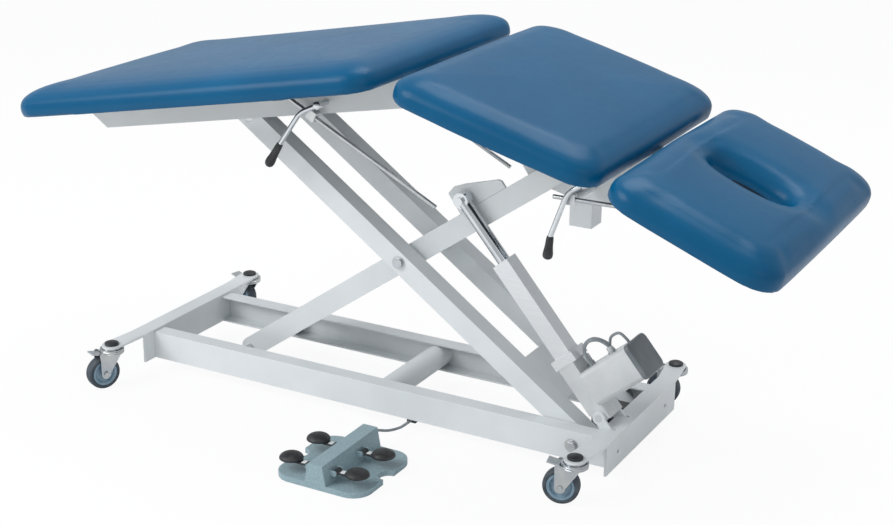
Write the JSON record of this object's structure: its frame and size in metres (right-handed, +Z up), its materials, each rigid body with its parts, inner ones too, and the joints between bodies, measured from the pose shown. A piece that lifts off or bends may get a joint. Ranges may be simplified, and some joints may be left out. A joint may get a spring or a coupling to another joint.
{
  "type": "chiropractic table",
  "caption": "Height-adjustable treatment table with a peaked three-section padded top, face opening, scissor lift with linear actuator, foot switch and swivel casters.",
  "frame": {"origin": "under the middle of the whole box, on the floor", "axes": "+X along the table towards the head, +Y across it away from the foot switch, +Z up"},
  "size_m": [1.743, 0.817, 0.8341],
  "materials": {
    "frame_paint": "satin light gray-white powder coat",
    "zinc": "zinc plated, satin",
    "dark_metal": "matt black paint",
    "chrome": "polished",
    "black_plastic": "matt black",
    "tyre": "matt dark gray rubber on a gray hub",
    "switch_paint": "satin blue-gray hammered paint",
    "button_rubber": "matt black",
    "cable_gray": "gray PVC",
    "board_wood": "dark stained plywood",
    "upholstery": "slate blue coated upholstery cloth, satin",
    "motor_shell": "light gray, dark gray end cap",
    "aluminium": "satin extrusion"
  },
  "bodies": {
    "base": {"rail_near": "frame_paint", "rail_far": "frame_paint", "end_angle_left": "frame_paint", "end_angle_right": "frame_paint", "base_cross_tube": "frame_paint", "actuator_cross_member": "frame_paint", "caster_stems": "black_plastic", "control_box": "black_plastic", "foot_switch_body": "switch_paint", "foot_switch_cord": "cable_gray", "cord_clip": "black_plastic"},
    "outer_legs": {"outer_leg_near": "frame_paint", "outer_leg_far": "frame_paint", "leg_cross_plate": "frame_paint", "leg_top_axle": "zinc", "pivot_bolts": "zinc"},
    "inner_arms": {"inner_arms": "frame_paint", "rod_hook": "frame_paint"},
    "track_rollers": {"track_rollers": "zinc"},
    "carriage": {"top_pivot_shaft": "zinc"},
    "middle": {"middle_side_plates": "frame_paint", "middle_cross_tubes": "frame_paint", "middle_board": "board_wood", "middle_cushion": "upholstery", "ridge_shaft": "zinc"},
    "long_frame": {"long_rail_near": "frame_paint", "long_rail_far": "frame_paint", "long_cross_bars": "frame_paint"},
    "long_section": {"raise_hinges": "dark_metal", "long_board": "board_wood", "long_cushion": "upholstery"},
    "head": {"head_board": "board_wood", "head_cushion": "upholstery", "head_arms": "frame_paint"},
    "long_lever": {"long_lever": "zinc"},
    "head_lever": {"head_lever": "zinc"},
    "long_clamps": {"long_clamps": "zinc"},
    "long_lock_rods": {"long_lock_rods": "zinc"},
    "head_clamp": {"head_clamp": "zinc"},
    "head_lock_rod": {"head_lock_rod": "zinc"},
    "actuator": {"actuator_tube": "aluminium", "gear_motor": "motor_shell", "motor_cables": "cable_gray"},
    "piston_rod": {"piston_rod": "chrome"},
    "fork_nl": {"caster_fork_nl": "zinc"},
    "wheel_nl": {"caster_wheel_nl": "tyre"},
    "brake_nl": {"caster_brake_nl": "zinc"},
    "fork_nr": {"caster_fork_nr": "zinc"},
    "wheel_nr": {"caster_wheel_nr": "tyre"},
    "brake_nr": {"caster_brake_nr": "zinc"},
    "fork_fl": {"caster_fork_fl": "zinc"},
    "wheel_fl": {"caster_wheel_fl": "tyre"},
    "brake_fl": {"caster_brake_fl": "zinc"},
    "fork_fr": {"caster_fork_fr": "zinc"},
    "wheel_fr": {"caster_wheel_fr": "tyre"},
    "brake_fr": {"caster_brake_fr": "zinc"},
    "button_1": {"foot_button_1": "button_rubber"},
    "button_2": {"foot_button_2": "button_rubber"},
    "button_3": {"foot_button_3": "button_rubber"},
    "button_4": {"foot_button_4": "button_rubber"}
  },
  "joints": [
    {"name": "lift", "type": "hinge", "parent": "base", "child": "outer_legs", "pos_m": [0.4128, 0.0655, 0.0608], "axis": [0, 1, 0], "range_deg": [-19.8, 9.6]},
    {"name": "scissor", "type": "hinge", "parent": "outer_legs", "child": "inner_arms", "pos_m": [-0.01608, 0.0655, 0.36446], "axis": [0, -1, 0], "range_deg": [-39.6, 19.2]},
    {"name": "roller_spin", "type": "hinge", "parent": "inner_arms", "child": "track_rollers", "pos_m": [-0.44496, 0.0655, 0.0608], "axis": [0, 1, 0], "continuous": true},
    {"name": "level", "type": "hinge", "parent": "inner_arms", "child": "carriage", "pos_m": [0.34792, 0.0655, 0.62219], "axis": [0, 1, 0], "range_deg": [-19.8, 9.6]},
    {"name": "flex", "type": "hinge", "parent": "carriage", "child": "middle", "pos_m": [0.34792, 0.0655, 0.62219], "axis": [0, -1, 0], "range_deg": [0, 15.4]},
    {"name": "long_flex", "type": "hinge", "parent": "middle", "child": "long_frame", "pos_m": [0.0449, 0.0655, 0.73615], "axis": [0, -1, 0], "range_deg": [-26.2, 0]},
    {"name": "raise", "type": "hinge", "parent": "long_frame", "child": "long_section", "pos_m": [0.01156, 0.0655, 0.8095], "axis": [0, 1, 0], "range_deg": [0, 50]},
    {"name": "head_tilt", "type": "hinge", "parent": "middle", "child": "head", "pos_m": [0.51048, 0.0655, 0.64525], "axis": [0, -1, 0], "range_deg": [-40, 6.4]},
    {"name": "long_lever_turn", "type": "hinge", "parent": "long_frame", "child": "long_lever", "pos_m": [-0.16606, -0.1185, 0.69998], "axis": [0, 1, 0], "range_deg": [-20, 20]},
    {"name": "head_lever_turn", "type": "hinge", "parent": "middle", "child": "head_lever", "pos_m": [0.41286, -0.0765, 0.61094], "axis": [0, 1, 0], "range_deg": [-20, 20]},
    {"name": "long_clamp_turn", "type": "hinge", "parent": "long_frame", "child": "long_clamps", "pos_m": [-0.19042, 0.0655, 0.67293], "axis": [0, 1, 0], "range_deg": [0, 52.5]},
    {"name": "long_rod_slide", "type": "slide", "parent": "long_clamps", "child": "long_lock_rods", "axis": [-0.8887, 0, 0.4585], "range_m": [0, 0.20595]},
    {"name": "head_clamp_turn", "type": "hinge", "parent": "middle", "child": "head_clamp", "pos_m": [0.37944, -0.0605, 0.57243], "axis": [0, -1, 0], "range_deg": [-24.76, 3.96]},
    {"name": "head_rod_slide", "type": "slide", "parent": "head_clamp", "child": "head_lock_rod", "axis": [0.9999, 0, 0.0104], "range_m": [-0.06758, 0.01081]},
    {"name": "actuator_turn", "type": "hinge", "parent": "base", "child": "actuator", "pos_m": [0.4538, -0.0085, 0.115], "axis": [0, 1, 0], "range_deg": [-20.79, 10.08]},
    {"name": "ram", "type": "slide", "parent": "actuator", "child": "piston_rod", "axis": [-0.6478, 0, 0.7618], "range_m": [-0.10692, 0.05184]},
    {"name": "swivel_nl", "type": "hinge", "parent": "base", "child": "fork_nl", "pos_m": [-0.6722, -0.2035, 0.08], "axis": [0, 0, 1], "continuous": true},
    {"name": "roll_nl", "type": "hinge", "parent": "fork_nl", "child": "wheel_nl", "pos_m": [-0.68237, -0.22634, 0.0375], "axis": [0.9135, -0.4067, 0], "continuous": true},
    {"name": "brake_nl", "type": "hinge", "parent": "fork_nl", "child": "brake_nl", "pos_m": [-0.68481, -0.23182, 0.0827], "axis": [0.9135, -0.4067, 0], "range_deg": [0, 15]},
    {"name": "swivel_nr", "type": "hinge", "parent": "base", "child": "fork_nr", "pos_m": [0.4738, -0.2035, 0.08], "axis": [0, 0, 1], "continuous": true},
    {"name": "roll_nr", "type": "hinge", "parent": "fork_nr", "child": "wheel_nr", "pos_m": [0.44944, -0.20912, 0.0375], "axis": [0.225, -0.9744, 0], "continuous": true},
    {"name": "brake_nr", "type": "hinge", "parent": "fork_nr", "child": "brake_nr", "pos_m": [0.44359, -0.21047, 0.0827], "axis": [0.225, -0.9744, 0], "range_deg": [0, 15]},
    {"name": "swivel_fl", "type": "hinge", "parent": "base", "child": "fork_fl", "pos_m": [-0.6722, 0.3345, 0.08], "axis": [0, 0, 1], "continuous": true},
    {"name": "roll_fl", "type": "hinge", "parent": "fork_fl", "child": "wheel_fl", "pos_m": [-0.69666, 0.3397, 0.0375], "axis": [-0.2079, -0.9781, 0], "continuous": true},
    {"name": "brake_fl", "type": "hinge", "parent": "fork_fl", "child": "brake_fl", "pos_m": [-0.70252, 0.34094, 0.0827], "axis": [-0.2079, -0.9781, 0], "range_deg": [0, 15]},
    {"name": "swivel_fr", "type": "hinge", "parent": "base", "child": "fork_fr", "pos_m": [0.4738, 0.3345, 0.08], "axis": [0, 0, 1], "continuous": true},
    {"name": "roll_fr", "type": "hinge", "parent": "fork_fr", "child": "wheel_fr", "pos_m": [0.44894, 0.33189, 0.0375], "axis": [0.1045, -0.9945, 0], "continuous": true},
    {"name": "brake_fr", "type": "hinge", "parent": "fork_fr", "child": "brake_fr", "pos_m": [0.44297, 0.33126, 0.0827], "axis": [0.1045, -0.9945, 0], "range_deg": [0, 15]},
    {"name": "press_1", "type": "hinge", "parent": "base", "child": "button_1", "pos_m": [-0.0272, -0.27321, 0.033], "axis": [0, -1, 0], "range_deg": [0, 4], "stiffness_Nm_per_rad": 2, "springref_deg": -4.58},
    {"name": "press_2", "type": "hinge", "parent": "base", "child": "button_2", "pos_m": [-0.0272, -0.37379, 0.033], "axis": [0, -1, 0], "range_deg": [0, 4], "stiffness_Nm_per_rad": 2, "springref_deg": -4.58},
    {"name": "press_3", "type": "hinge", "parent": "base", "child": "button_3", "pos_m": [0.0348, -0.27321, 0.033], "axis": [0, 1, 0], "range_deg": [0, 4], "stiffness_Nm_per_rad": 2, "springref_deg": -4.58},
    {"name": "press_4", "type": "hinge", "parent": "base", "child": "button_4", "pos_m": [0.0348, -0.37379, 0.033], "axis": [0, 1, 0], "range_deg": [0, 4], "stiffness_Nm_per_rad": 2, "springref_deg": -4.58}
  ],
  "couplings": [
    {"joint": "scissor", "follows": "lift", "ratio": 2},
    {"joint": "level", "follows": "lift", "ratio": 1},
    {"joint": "flex", "follows": "long_flex", "ratio": -0.58779},
    {"joint": "long_clamp_turn", "follows": "raise", "ratio": 1.05},
    {"joint": "long_rod_slide", "follows": "raise", "m_per_rad": 0.236},
    {"joint": "head_clamp_turn", "follows": "head_tilt", "ratio": 0.619},
    {"joint": "head_rod_slide", "follows": "head_tilt", "m_per_rad": 0.0968},
    {"joint": "actuator_turn", "follows": "lift", "ratio": 1.05},
    {"joint": "ram", "follows": "lift", "m_per_rad": 0.3094}
  ]
}
